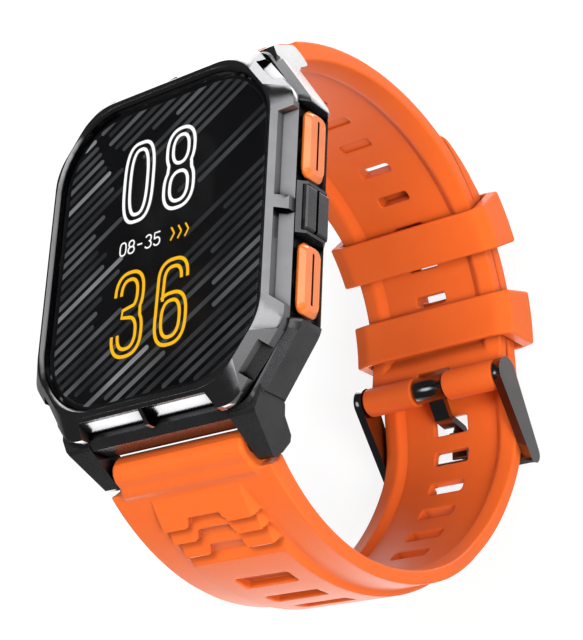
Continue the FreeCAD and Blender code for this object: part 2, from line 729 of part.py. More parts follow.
def long_slots(leave, heading, nest):
    """Adjusting slots through the strap, and three wide recesses outside."""
    cuts = []
    for k in range(-2, 6):
        where, angle = spot(leave, heading, -1, LONG_INNER, TONGUE_AT + k * SLOT_PITCH)
        slack = 0.3 if k == 0 else 0.0
        half = 1.3 if k == 0 else 1.0
        hole = slot_at(where, angle, -1, 2.9, half, -2, 5)
        cuts.append(hole.translated(V(0, -slack, 0)))
    for k in range(-6, -2):
        along = -(TONGUE_AT + k * SLOT_PITCH) * LOOP_R / LONG_R
        where, angle = spot(nest, LEAVE, 1, TAIL_MOVES, along)
        cuts.append(slot_at(where, angle, 1, 2.9, 1.0, 0.5, 9))
    for distance in (59.0, 64.6, 70.2):
        where, angle = spot(leave, heading, -1, LONG_INNER, distance)
        cuts.append(slot_at(where, angle, -1, 4.1, 1.1, 2.3, 6))
    return cuts


def grip_ridges(leave, heading):
    """Three stepped grip ridges near the lugs."""
    ridges = []
    for k in range(3):
        where, angle = spot(leave, heading, -1, LONG_INNER, 77.2 + 2.6 * k)
        ridge = slot_at(where, angle, -1, 7.0, 1.1, 1.5, 3.6)
        notch = slot_at(where, angle, -1, 2.2, 0.8, 3.2, 6)
        notch.translate(V(0, 0, -0.6))
        ridges.append(ridge.cut(notch))
    return ridges


def strap_lower():
    leave = on_loop(LONG_R, LEAVE)
    heading = 180 + LEAVE
    inner = trace(leave, heading, -1, LONG_INNER, 0.0)
    outer = trace(leave, heading, -1, LONG_OUTER, FLANGE)
    body = band(inner, outer, STRAP_W)
    nest = on_loop(LOOP_R, LEAVE)
    tail_in = trace(nest, LEAVE, 1, TAIL_MOVES, FLANGE + NEST_GAP)
    tail_out = trace(nest, LEAVE, 1, TAIL_MOVES, 2 * FLANGE + NEST_GAP)
    body = body.fuse(band(tail_in, tail_out, STRAP_W)).fuse(tail_cap())
    body = body.common(taper(STRAP_W, TAIL_W))
    normal = outward(LEAVE, 1)
    bend, angle = spot(leave, heading, -1, LONG_INNER, 22.3)
    ribbed = trace((bend.y, bend.z), angle, -1, [LONG_OUTER[2], (32.0, 21.0)], FLANGE)
    rails = [rail(ribbed, outward(angle, -1), 7.9, 7.2, RIB, 0.4)]
    rails.append(rail(tail_out, normal, 7.9, 7.2, RIB, 0.4))
    body = fuse([body] + rails)
    body = body.cut(rail(inner, normal * -1, 9.0, 7.95, 0.001, 1.0))
    body = body.cut(rail(tail_in, normal * -1, 9.0, 7.95, 0.001, 1.0))
    for cutter in long_slots(leave, heading, nest) + tail_tip(nest):
        body = body.cut(cutter)
    for ridge in grip_ridges(leave, heading):
        body = body.fuse(ridge)
    lips = [(-end_of(outer).y, end_of(outer).z), (-end_of(inner).y, end_of(inner).z)]
    body = body.fuse(root(-1, lips))
    body = body.cut(strap_bore(-1))
    for relief in lug_relief(-1):
        body = body.cut(relief)
    return body


def make_straps():
    save("strap_upper", strap_upper())
    save("strap_lower", strap_lower())


# ---- keepers and buckle -------------------------------------------------
def sweep_round(wire, length, angle):
    """Outline in x and radius, turned about the loop centre."""
    y, z = LOOP
    face = Part.Face(wire)
    sweep = math.degrees(length / (LOOP_R + FLANGE))
    face.rotate(V(0, y, z), V(1, 0, 0), angle - sweep / 2)
    return face.revolve(V(0, y, z), V(1, 0, 0), sweep)


def keeper(angle, slack):
    half, length, wall = KEEPER
    across, deep = KEEPER_CUT
    y, z = LOOP
    low = LOOP_R - 0.12
    high = LOOP_R + 2 * FLANGE + NEST_GAP + RIB + slack
    quarter = [(half - across, low - wall), (half, low - wall + deep)]
    quarter += [(half, high + wall - deep), (half - across, high + wall)]
    ring = quarter + [(-x, r) for x, r in reversed(quarter)]
    outer = rounded([V(x, y, z - r) for x, r in ring], 0.3)
    gap = TAIL_W + 0.5
    hole = [V(-gap, y, z - low), V(gap, y, z - low), V(gap, y, z - high), V(-gap, y, z - high)]
    body = sweep_round(outer, length, angle)
    return body.cut(sweep_round(rounded(hole, 0.3), length + 2, angle))


def capsule(p, rp, q, rq, x0, x1):
    """Plate with a round end of radius rp at p and rq at q."""
    a = V(0, p[0], p[1])
    b = V(0, q[0], q[1])
    along = (b - a).normalize()
    across = V(0, -along.z, along.y)
    lean = math.asin((rp - rq) / (b - a).Length)
    up = across * math.cos(lean) + along * math.sin(lean)
    down = across * -math.cos(lean) + along * math.sin(lean)
    corners = [a + up * rp, b + up * rq, b + down * rq, a + down * rp]
    web = plate_yz([(c.y, c.z) for c in corners], x0, x1)
    return fuse([web, rod_x(rp, x0, x1, *p), rod_x(rq, x0, x1, *q)])


def chain(points, r, half):
    """Flat bar through a row of points, thickness 2r, width 2 x half."""
    links = []
    for p, q in zip(points, points[1:]):
        links.append(capsule(p, r, q, r, -half, half))
    return fuse(links)


def make_buckle():
    x0, x1 = FRAME_X
    y, z = CROSSBAR
    arm = capsule(BUCKLE, 2.3, CROSSBAR, 1.4, x0, x1)
    arm = arm.cut(rod_x(BUCKLE_PIN, 0, x0 + 1.0, *BUCKLE))
    bar = capsule((y + 0.35, z - 0.1), 1.05, (y - 0.35, z + 0.1), 1.05, -x0 - 0.4, x0 + 0.4)
    rest = box(-1.65, 1.65, y - 3, y + 3, z - 3, z + 0.05)
    save("buckle_frame", fuse(both_x(arm) + [bar.cut(rest)]))
    save("buckle_bar", rod_x(BUCKLE_PIN, -x0 - 0.95, x0 + 0.95, *BUCKLE))
    ring = rod_x(1.9, -2.45, 2.45, *BUCKLE)
    path = [(-0.4, -62.9), (-3.1, -64.9), (-3.75, -68.6), (-4.9, -69.6)]
    path += [(y - 1.2, z - 0.6)]
    tongue = fuse([ring, chain(path, 0.5, 1.3)])
    tongue = tongue.cut(rod_x(BUCKLE_PIN + RUN, -5, 5, *BUCKLE))
    save("buckle_tongue", tongue)
    for name, angle, slack in KEEPERS:
        save(name, keeper(angle, slack))


make_case()
make_display()
make_electronics()
make_motor()
make_back()
make_bar("upper", 1)
make_bar("lower", -1)
make_straps()
make_buckle()
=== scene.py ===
import math
import random

import bpy
import numpy as np
from mathutils import Matrix, Vector


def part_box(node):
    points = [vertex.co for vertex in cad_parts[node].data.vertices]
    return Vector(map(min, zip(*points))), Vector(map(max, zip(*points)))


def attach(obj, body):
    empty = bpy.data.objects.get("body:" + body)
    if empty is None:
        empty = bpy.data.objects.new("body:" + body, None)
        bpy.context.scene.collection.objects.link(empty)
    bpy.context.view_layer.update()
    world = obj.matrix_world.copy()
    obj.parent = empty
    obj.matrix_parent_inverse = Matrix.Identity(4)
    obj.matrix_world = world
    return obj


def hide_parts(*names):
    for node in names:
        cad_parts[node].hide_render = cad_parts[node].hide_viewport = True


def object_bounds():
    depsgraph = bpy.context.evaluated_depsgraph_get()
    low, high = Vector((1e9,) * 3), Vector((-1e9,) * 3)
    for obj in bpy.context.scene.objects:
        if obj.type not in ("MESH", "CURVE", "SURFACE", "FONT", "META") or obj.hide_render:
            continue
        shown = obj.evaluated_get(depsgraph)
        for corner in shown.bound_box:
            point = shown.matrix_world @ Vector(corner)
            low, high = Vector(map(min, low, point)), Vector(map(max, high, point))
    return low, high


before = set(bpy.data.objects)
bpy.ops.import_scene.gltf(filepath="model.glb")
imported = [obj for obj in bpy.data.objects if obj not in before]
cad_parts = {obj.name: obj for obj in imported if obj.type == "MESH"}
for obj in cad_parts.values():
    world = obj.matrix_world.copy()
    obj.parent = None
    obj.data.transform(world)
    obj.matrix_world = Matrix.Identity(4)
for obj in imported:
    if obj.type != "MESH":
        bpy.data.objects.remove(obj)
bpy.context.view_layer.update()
MM = 0.001


def mm_box(node):
    lo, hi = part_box(node)
    return lo / MM, hi / MM


def middle(node):
    lo, hi = mm_box(node)
    return (lo + hi) / 2


# ---- sizes shared with the frame, in mm ---------------------------------
BAR = middle("upper_bar_tube").yz                 # spring bar axis: y, z
PIN = middle("buckle_bar").yz                     # buckle pin axis: y, z
STRAP_W = mm_box("strap_upper")[1].x              # half width at the lugs
KEEPER_W = mm_box("keeper_near")[1].x
GLASS_HALF = mm_box("cover_glass")[1].xy
GLASS_LOW = mm_box("cover_glass")[0].z
TAIL_W = 11.45             # half width where the straps overlap
TAPER_Z = (-90.0, -55.0, -47.0, BAR.y - 2.0, 0.0)
LUG_IN = 11.0              # half gap between the lugs
LOOP = (5.4, -36.7)        # centre of the arc where both straps nest
LOOP_R = 25.25             # wrist side of the short strap
FLANGE = 2.1               # strap edge thickness
RIB = 0.9                  # raised middle, and depth of the channel
NEST = 0.12                # air between the nested straps
LEAVE = 8.0                # where the long strap leaves the arc, degrees
LONG_R = LOOP_R + FLANGE + NEST
BARREL_R = 2.05
PIN_BARREL = 2.2
BAR_BORE = 0.95
PIN_BORE = 0.85
ROOT_W = LUG_IN - 0.15     # half width of the strap between the lugs
SHORT_START = math.degrees(math.asin((PIN.x - LOOP[0]) / (LOOP_R + FLANGE / 2)))
NEST_END = 58.2            # where the nested part of the loop ends, degrees
# moves: radius and degrees, or 0 and a length, from the buckle to the case
SHORT_R = 35.84
SHORT_END = 41.9
SHORT_MOVES = [(LOOP_R, NEST_END - SHORT_START), (SHORT_R, 22.0), (SHORT_R, SHORT_END)]
SHORT_ROOT_R = 39.8
LONG_R_LAST = 28.08
LONG_END = 44.4
LONG_MOVES = [(0, 14.18), (14.6, 31.35), (36.32, 67.14), (LONG_R_LAST, LONG_END)]
LONG_ROOT_R = 32.0
TAIL_MOVES = [(LONG_R, NEST_END - LEAVE), (SHORT_R + FLANGE + NEST, 12.0)]
TONGUE_AT = 12.8           # slot that the tongue is in
PITCH = 5.0
SHORT_SLOT_AT = 13.9       # first slot of the short strap
SHORT_PITCH = 5.35
SLOT_THROUGH = 5           # slots of the short strap that go through
BLIND_DEPTH = 1.3
RECESSES = (59.0, 64.6, 70.2)
KEEPER_WALL = 0.85
KEEPER_LENGTH = 7.2
KEEPER_CHAMFER = (2.5, 0.85)
KEEPER_NEAR = (10.2, 0.6)  # angle on the loop, extra room inside
KEEPER_FAR = (39.6, 0.35)


# ---- runs: a strap laid along tangent arcs in the y z plane -------------
class Run:
    """A row of tangent arcs; radius 0 is a straight. Both ends go on straight."""

    def __init__(self, start, heading, turn, moves):
        self.turn = turn
        self.parts = []
        y, z = start
        gone = 0.0
        self.parts.append((-1e6, y, z, heading, 0))
        for radius, amount in moves:
            self.parts.append((gone, y, z, heading, radius))
            gone += amount if radius == 0 else math.radians(amount) * radius
            y, z, heading = self.step(y, z, heading, radius, amount)
        self.parts.append((gone, y, z, heading, 0))
        self.length = gone

    def step(self, y, z, heading, radius, amount):
        if radius == 0:
            a = math.radians(heading)
            return y + math.cos(a) * amount, z + math.sin(a) * amount, heading
        ny, nz = self.normal(heading)
        turned = heading + self.turn * amount
        my, mz = self.normal(turned)
        return y + (my - ny) * radius, z + (mz - nz) * radius, turned

    def normal(self, heading):
        a = math.radians(heading)
        return self.turn * math.sin(a), -self.turn * math.cos(a)

    def at(self, s):
        """Base y and z, normal y and z, and 1 / radius, at distances s."""
        s = np.asarray(s, float)
        y, z, ny, nz, bend = (np.zeros_like(s) for _ in range(5))
        for gone, py, pz, heading, radius in self.parts:
            pick = s >= gone if gone > -1e5 else np.ones(s.shape, bool)
            a = math.radians(heading)
            by, bz = self.normal(heading)
            along = s - (gone if gone > -1e5 else 0.0)
            if radius == 0:
                vy = py + math.cos(a) * along
                vz = pz + math.sin(a) * along
                wy, wz, k = by, bz, 0.0
            else:
                t = a + self.turn * along / radius
                wy = self.turn * np.sin(t)
                wz = -self.turn * np.cos(t)
                vy = py + (wy - by) * radius
                vz = pz + (wz - bz) * radius
                k = 1.0 / radius
            y = np.where(pick, vy, y)
            z = np.where(pick, vz, z)
            ny = np.where(pick, wy, ny)
            nz = np.where(pick, wz, nz)
            bend = np.where(pick, k, bend)
        return y, z, ny, nz, bend


class TwoWay:
    """One run for distances above 0, and another, walked backwards, below."""

    def __init__(self, ahead, behind):
        self.ahead = ahead
        self.behind = behind

    def at(self, s):
        s = np.asarray(s, float)
        front = self.ahead.at(np.maximum(s, 0))
        back = self.behind.at(np.maximum(-s, 0))
        return tuple(np.where(s >= 0, a, b) for a, b in zip(front, back))


def on_loop(radius, degrees):
    a = math.radians(degrees)
    return LOOP[0] + radius * math.sin(a), LOOP[1] - radius * math.cos(a)


# ---- distance fields ----------------------------------------------------
def join(a, b, k):
    """Union of two fields with a fillet of size k."""
    h = np.maximum(k - np.abs(a - b), 0) / k
    return np.minimum(a, b) - h * h * k / 4


def both(a, b, k):
    """What two fields share, with a rounded edge."""
    return -join(-a, -b, k)


def cut(a, b, k):
    """Field a with b taken away."""
    return both(a, -b, k)


def plate(u, v, half_u, half_v, r):
    """Distance to a rounded rectangle."""
    qu = np.abs(u) - half_u + r
    qv = np.abs(v) - half_v + r
    return np.hypot(np.maximum(qu, 0), np.maximum(qv, 0)) + np.minimum(np.maximum(qu, qv), 0) - r


def block(x, s, t, at, half_w, half_l, low, high):
    """A slot cutter: rounded in plan, from low to high."""
    return np.maximum(plate(x, s - at, half_w, half_l, 0.4), np.maximum(low - t, t - high))


def ridge(x, t, foot, top, low, high):
    """Trapezium bar lying along the strap."""
    slope = (foot - top) / (high - low)
    lean = math.hypot(1, slope)
    side = (np.abs(x) - foot + slope * (t - low)) / lean
    return np.maximum(side, t - high)


def polygon(y, z, corners):
    """Distance to a convex polygon given anticlockwise."""
    d = None
    for (ay, az), (by, bz) in zip(corners, corners[1:] + corners[:1]):
        size = math.hypot(by - ay, bz - az)
        side = ((by - ay) * (az - z) - (bz - az) * (ay - y)) / size
        d = side if d is None else np.maximum(d, side)
    return d


def half_width(z):
    """Half width of the strap, wide at the case and narrow at the buckle."""
    wide = (TAIL_W, TAIL_W, STRAP_W - 0.45, STRAP_W, STRAP_W)
    return np.interp(z, TAPER_Z, wide)


def root_thickness(along, inner_r, outer_r):
    """Strap thickness on the last arc, where the outer side turns more gently."""
    a = np.clip(along, 0, None) / inner_r
    e = outer_r - inner_r
    reach = outer_r + FLANGE
    return e * -np.cos(a) + np.sqrt(reach * reach - (e * np.sin(a)) ** 2) - inner_r


# ---- skin of a distance field -------------------------------------------
def nets(d):
    """Surface nets: points in grid steps, and quads."""
    inside = d < 0
    n = np.array(d.shape)
    count = np.zeros(n - 1, np.int8)
    for i in (0, 1):
        for j in (0, 1):
            for k in (0, 1):
                count += inside[i:n[0] - 1 + i, j:n[1] - 1 + j, k:n[2] - 1 + k]
    mixed = (count > 0) & (count < 8)
    cells = np.argwhere(mixed)
    index = np.full(mixed.shape, -1, np.int64)
    index[mixed] = np.arange(len(cells))
    total = np.zeros((len(cells), 3))
    weight = np.zeros(len(cells))
    for axis in range(3):
        step = np.zeros(3, int)
        step[axis] = 1
        others = [i for i in range(3) if i != axis]
        for a in (0, 1):
            for b in (0, 1):
                corner = cells.copy()
                corner[:, others[0]] += a
                corner[:, others[1]] += b
                d0 = d[tuple(corner.T)]
                d1 = d[tuple((corner + step).T)]
                hit = (d0 < 0) != (d1 < 0)
                t = d0[hit] / (d0[hit] - d1[hit])
                total[hit] += corner[hit] + t[:, None] * step
                weight[hit] += 1
    points = total / weight[:, None]
    quads = []
    for axis in range(3):
        one = [slice(1, -1)] * 3
        two = [slice(1, -1)] * 3
        one[axis] = slice(0, n[axis] - 1)
        two[axis] = slice(1, n[axis])
        a = inside[tuple(one)]
        b = inside[tuple(two)]
        where = np.argwhere(a != b)
        flip = a[a != b]
        where[:, [i for i in range(3) if i != axis]] += 1
        u, v = [(1, 2), (2, 0), (0, 1)][axis]
        ring = []
        for du, dv in ((1, 1), (0, 1), (0, 0), (1, 0)):
            cell = where.copy()
            cell[:, u] -= du
            cell[:, v] -= dv
            ring.append(index[tuple(cell.T)])
        face = np.stack(ring, 1)
        face[~flip] = face[~flip][:, ::-1]
        quads.append(face)
    return points, np.concatenate(quads)


def gradient(field, p, h=0.02):
    g = np.empty_like(p)
    for axis in range(3):
        q = p.copy()
        q[:, axis] += h
        high = field(*q.T)
        q[:, axis] -= 2 * h
        g[:, axis] = (high - field(*q.T)) / (2 * h)
    return g


def skin(name, run, field, low, high, step):
    """Mesh of a field given in strap space (x, distance, height), laid on the run."""
    axes = [np.arange(a, b + c, c) for a, b, c in zip(low, high, step)]
    d = field(axes[0][:, None, None], axes[1][None, :, None], axes[2][None, None, :])
    points, quads = nets(d)
    p = np.array(low) + points * np.array(step)
    for _ in range(3):
        g = gradient(field, p)
        size = np.maximum((g * g).sum(1), 0.2)
        move = -(field(*p.T) / size)[:, None] * g
        far = np.linalg.norm(move, axis=1, keepdims=True)
        p += move * np.minimum(1, 0.4 * min(step) / np.maximum(far, 1e-9))
    g = gradient(field, p)
    y, z, ny, nz, bend = run.at(p[:, 1])
    ahead = run.at(p[:, 1] + 0.01)
    behind = run.at(p[:, 1] - 0.01)
    ty = ahead[0] - behind[0]
    tz = ahead[1] - behind[1]
    size = np.hypot(ty, tz)
    stretch = 1 + p[:, 2] * bend
    gs = g[:, 1] / stretch
    normal = np.stack([g[:, 0], ty / size * gs + ny * g[:, 2], tz / size * gs + nz * g[:, 2]], 1)
    normal /= np.linalg.norm(normal, axis=1, keepdims=True)
    world = np.stack([p[:, 0], y + ny * p[:, 2], z + nz * p[:, 2]], 1) * MM
    return solid_mesh(name, world, quads, normal)


def solid_mesh(name, world, quads, normal):
    a, b, c = (world[quads[:, i]] for i in range(3))
    facing = (np.cross(b - a, c - a) * normal[quads[:, 0]]).sum(1)
    if np.median(facing) < 0:
        quads = quads[:, ::-1]
    mesh = bpy.data.meshes.new(name)
    mesh.from_pydata(world.tolist(), [], quads.tolist())
    mesh.update()
    mesh.shade_smooth()
    mesh.normals_split_custom_set_from_vertices(normal.tolist())
    obj = bpy.data.objects.new(name, mesh)
    bpy.context.scene.collection.objects.link(obj)
    return obj


# ---- short strap --------------------------------------------------------
short_run = Run(on_loop(LOOP_R, SHORT_START), SHORT_START, 1, SHORT_MOVES)
LAST_SHORT = short_run.length - math.radians(SHORT_END) * SHORT_R


def root_shape(x, y, z, sign, lips):
    """The barrel on the spring bar with its web, chamfered at both ends."""
    v = y * sign
    barrel = np.hypot(v - BAR.x, z - BAR.y) - BARREL_R
    body = join(barrel, polygon(v, z, lips), 0.5)
    ends = np.abs(x) - ROOT_W
    body = both(body, ends, 0.3)
    corner = (ends * 0.8 + body * 0.6) + 0.62
    return both(body, corner, 0.25)


def lug_room(x, y, z, sign):
    """Room beside the root for the lug tips."""
    v = y * sign
    tip = [(20, -6), (24.75, -11.1), (25.7, -11.4), (27.35, -10.75), (28.1, -9.9)]
    side = polygon(v, z, tip + [(28.1, -4), (20, -4)])
    above = np.maximum(-9.25 - z, 27.5 - v)
    return np.maximum(np.minimum(side, above), ROOT_W - np.abs(x))


def knob_slot(x, v, z):
    """Slot on the wrist side for the knob of the quick release pin."""
    wide = np.maximum(np.abs(x - 7.45) - 2.45, np.abs(v - BAR.x) - 0.95)
    return np.maximum(wide, np.abs(z - BAR.y + 3.0) - 3.0)


def lips_of(run, thick, sign):
    """Outer and inner corner at the end of a strap, as (y * sign, z)."""
    y, z, ny, nz, _ = (float(v) for v in run.at(np.array(run.length)))
    outer = ((y + ny * thick) * sign, z + nz * thick)
    return outer, (y * sign, z)


def web_corners(run, last_angle, inner_r, outer_r, sign):
    """Outline of the web between the end of a strap and its spring bar."""
    arc = math.radians(last_angle) * inner_r
    thick = float(root_thickness(np.array(arc), inner_r, outer_r))
    outer, inner = lips_of(run, thick, sign)
    y0, z0 = BAR
    top = z0 + BARREL_R
    ring = [(y0 - 0.2, top - 0.05), (y0 - 1.0, z0), inner, outer]
    return ring + [(y0 + 1.8, top - 0.7), (y0 + 1.0, top - 0.1), (y0 + 0.2, top)]


SHORT_WEB = web_corners(short_run, SHORT_END, SHORT_R, SHORT_ROOT_R, 1)


def strap_body(x, t, z, thick):
    """Strap plate with a soft crown near its edges on the wrist side."""
    half = half_width(z)
    qx = np.abs(x) - half + 0.3
    qt = np.abs(t - thick / 2) - thick / 2 + 0.3
    d = np.hypot(np.maximum(qx, 0), np.maximum(qt, 0)) + np.minimum(np.maximum(qx, qt), 0) - 0.3
    crown = ((np.abs(x) - (half - 1.6)) * 0.3 - t * 1.6) / 1.63
    return both(d, crown, 0.3)


def short_field(x, s, t):
    """Short strap: barrels at both ends, raised middle, channels and slots."""
    by, bz, ny, nz, _ = short_run.at(s)
    y = by + ny * t
    z = bz + nz * t
    thick = np.where(s > LAST_SHORT,
                     root_thickness(s - LAST_SHORT, SHORT_R, SHORT_ROOT_R), FLANGE)
    d = strap_body(x, t, bz, thick)
    d = both(d, s - short_run.length, 0.2)
    d = np.maximum(d, -s)
    rib_end = LAST_SHORT + math.radians(18.0) * SHORT_R
    rib = ridge(x, t - thick, 8.5, 7.7, 0.0, RIB)
    rib = both(np.maximum(rib, -0.5 - (t - thick)), np.maximum(0.5 - s, s - rib_end), 0.3)
    d = join(d, rib, 0.3)
    channel = np.maximum(ridge(x, t, 9.0, 7.75, 0.0, 0.95), (4.2 - s) * 0.5 + t)
    d = cut(d, channel, 0.3)
    around = np.hypot(y - PIN.x, z - PIN.y)
    barrel = both(around - PIN_BARREL, np.abs(x) - TAIL_W, 0.4)
    d = join(d, barrel, 0.25)
    d = cut(d, np.maximum(np.abs(x) - 2.75, s - 2.7), 0.25)
    for k in range(8):
        depth = 6.0 if k < SLOT_THROUGH else BLIND_DEPTH
        at = SHORT_SLOT_AT + SHORT_PITCH * k
        d = cut(d, block(x, s, t, at, 2.55, 0.75, -3, depth), 0.22)
    d = join(d, root_shape(x, y, z, 1, SHORT_WEB), 1.6)
    d = cut(d, lug_room(x, y, z, 1), 0.2)
    bore = np.hypot(y - BAR.x, z - BAR.y) - BAR_BORE
    d = cut(d, bore, 0.15)
    d = cut(d, knob_slot(x, y, z), 0.2)
    return cut(d, around - PIN_BORE, 0.15)


# ---- long strap ---------------------------------------------------------
long_run = Run(on_loop(LONG_R, LEAVE), 180 + LEAVE, -1, LONG_MOVES)
tail_run = Run(on_loop(LONG_R, LEAVE), LEAVE, 1, TAIL_MOVES)
both_runs = TwoWay(long_run, tail_run)
LAST_LONG = long_run.length - math.radians(LONG_END) * LONG_R_LAST
LONG_WEB = web_corners(long_run, LONG_END, LONG_R_LAST, LONG_ROOT_R, -1)
TIP = -tail_run.length
SHINGLES = ((76.9, 2.5), (79.3, 2.5), (81.25, 3.9))      # lower edge, length
RIB_RAMP = (75.3, 1.2)


def wedge(x, s, t, thick, at, length):
    """One grip shingle: flush at its upper edge, raised and notched at its lower edge."""
    up = s - at
    height = 1.3 * np.clip(1 - up / length, 0, 1.1)
    flank = (np.abs(x) - 7.0 - 0.9 * np.clip(1 - up / length, 0, 1)) * 0.85
    notch = np.clip((3.1 - np.abs(x)) / 0.7, 0, 1) * 1.15
    low = notch - up
    top = (t - thick - height) * 0.95
    d = both(top, np.maximum(low, up - length - 0.3), 0.12)
    d = both(d, flank + np.maximum(t - thick, 0) * 0.6, 0.12)
    return np.maximum(d, (thick - 0.6) - t)


def long_field(x, s, t):
    """Long strap: root, raised middle, grip shingles, recesses, slots and tail."""
    by, bz, ny, nz, _ = both_runs.at(s)
    y = by + ny * t
    z = bz + nz * t
    thick = np.where(s > LAST_LONG,
                     root_thickness(s - LAST_LONG, LONG_R_LAST, LONG_ROOT_R), FLANGE)
    d = strap_body(x, t, bz, thick)
    tip = plate(x, s - TIP - 20, STRAP_W, 20, 3.6)
    tip = np.where(s < TIP + 15, tip, -5.0)
    d = both(d, tip, 0.4)
    d = both(d, s - long_run.length, 0.2)
    rise = RIB * np.clip((RIB_RAMP[0] + RIB_RAMP[1] - s) / RIB_RAMP[1], 0, 1)
    rib = ridge(x, t - thick, 7.9, 7.2, 0.0, RIB)
    rib = np.maximum(rib, (t - thick - rise) * 0.95)
    rib = np.maximum(rib, -0.5 - (t - thick))
    start = np.where(s > 8, 21.8 - s, s + 2.0)
    rib = both(rib, np.maximum(np.maximum(start, TIP + 3.0 - s), s - 80.0), 0.4)
    d = join(d, rib, 0.3)
    d = cut(d, ridge(x, t, 9.0, 7.95, 0.0, 1.0), 0.3)
    share = np.clip((s - TIP) / 14.5, 0, 1)
    slope = (t - 0.35 - (FLANGE + RIB - 0.35) * share) * 0.98
    edge = np.maximum(np.abs(x) - half_width(bz), np.maximum(1.0 - t, s - TIP - 13.5))
    cap = np.maximum(both(edge, slope, 0.3), tip)
    d = np.where(s < TIP + 24, both(join(d, cap, 0.1), slope, 0.3), d)
    for k in range(-6, 6):
        half = 1.3 if k == 0 else 1.0
        at = TONGUE_AT + k * PITCH + (0.3 if k == 0 else 0.0)
        d = cut(d, block(x, s, t, at, 2.9, half, -3, 6), 0.22)
    for at in RECESSES:
        floor = FLANGE + 0.1 + 0.25 * (s - at)
        d = cut(d, np.maximum(plate(x, s - at, 4.1, 1.2, 0.35), floor - t), 0.2)
    for at, length in SHINGLES:
        d = join(d, wedge(x, s, t, thick, at, length), 0.1)
    d = join(d, root_shape(x, y, z, -1, LONG_WEB), 1.6)
    d = cut(d, lug_room(x, y, z, -1), 0.2)
    bore = np.hypot(-y - BAR.x, z - BAR.y) - BAR_BORE
    d = cut(d, bore, 0.15)
    return cut(d, knob_slot(x, -y, z), 0.2)


# ---- keepers ------------------------------------------------------------
def keeper_field(slack):
    """Loop round both straps, with a chamfer along its outer edges."""
    low = -0.12
    high = 2 * FLANGE + NEST + RIB + slack
    wall = KEEPER_WALL
    length = KEEPER_LENGTH * LOOP_R / (LOOP_R + FLANGE)
    across, deep = KEEPER_CHAMFER
    lean = math.hypot(across, deep)

    def field(x, s, t):
        mid = (low + high) / 2
        tall = (high - low) / 2 + wall
        outer = plate(x, t - mid, KEEPER_W, tall, 0.25)
        slope = (np.abs(x) - KEEPER_W) * deep + (np.abs(t - mid) - tall + deep) * across
        outer = both(outer, slope / lean, 0.2)
        bore = plate(x, t - mid, TAIL_W + 0.5, tall - wall, 0.35)
        outer = both(outer, np.abs(s) - length / 2, 0.35)
        return cut(outer, bore, 0.3)
    return field


def keeper(name, degrees, slack):
    run = Run(on_loop(LOOP_R, degrees), degrees, 1, [(LOOP_R, 0.0001)])
    run.parts = [(-1e6, *on_loop(LOOP_R, degrees), degrees, LOOP_R)]
    reach = 2 * FLANGE + NEST + RIB + slack + KEEPER_WALL
    low = (-KEEPER_W - 0.4, -4.2, -1.4)
    high = (KEEPER_W + 0.4, 4.2, reach + 0.4)
    return skin(name, run, keeper_field(slack), low, high, (0.22, 0.24, 0.18))


# ---- materials ----------------------------------------------------------
def node(tree, kind, **values):
    """A new shader node with some of its settings."""
    n = tree.nodes.new(kind)
    for key, value in values.items():
        setattr(n, key, value)
    return n


def noise(tree, coords, scale, detail=3.0):
    n = node(tree, "ShaderNodeTexNoise")
    n.inputs["Scale"].default_value = scale
    n.inputs["Detail"].default_value = detail
    n.inputs["Roughness"].default_value = 0.55
    tree.links.new(coords, n.inputs["Vector"])
    return n.outputs["Fac"]


def ramp(tree, fac, low, high, a=0.0, b=1.0):
    """A value mapped from low..high to a..b."""
    n = node(tree, "ShaderNodeMapRange")
    tree.links.new(fac, n.inputs["Value"])
    for key, value in zip(("From Min", "From Max", "To Min", "To Max"), (low, high, a, b)):
        n.inputs[key].default_value = value
    return n.outputs["Result"]


def mix(tree, fac, a, b):
    """Colour between a and b, each a tuple or an output."""
    n = node(tree, "ShaderNodeMix", data_type="RGBA")
    tree.links.new(fac, n.inputs["Factor"])
    for key, value in (("A", a), ("B", b)):
        socket = [i for i in n.inputs if i.name == key and i.type == "RGBA"][0]
        if isinstance(value, tuple):
            socket.default_value = (*value, 1)
        else:
            tree.links.new(value, socket)
    return [o for o in n.outputs if o.type == "RGBA"][0]


def blank(name):
    """A new material with only its output node."""
    m = bpy.data.materials.new(name)
    m.use_nodes = True
    m.node_tree.nodes.clear()
    return m, m.node_tree, node(m.node_tree, "ShaderNodeOutputMaterial")


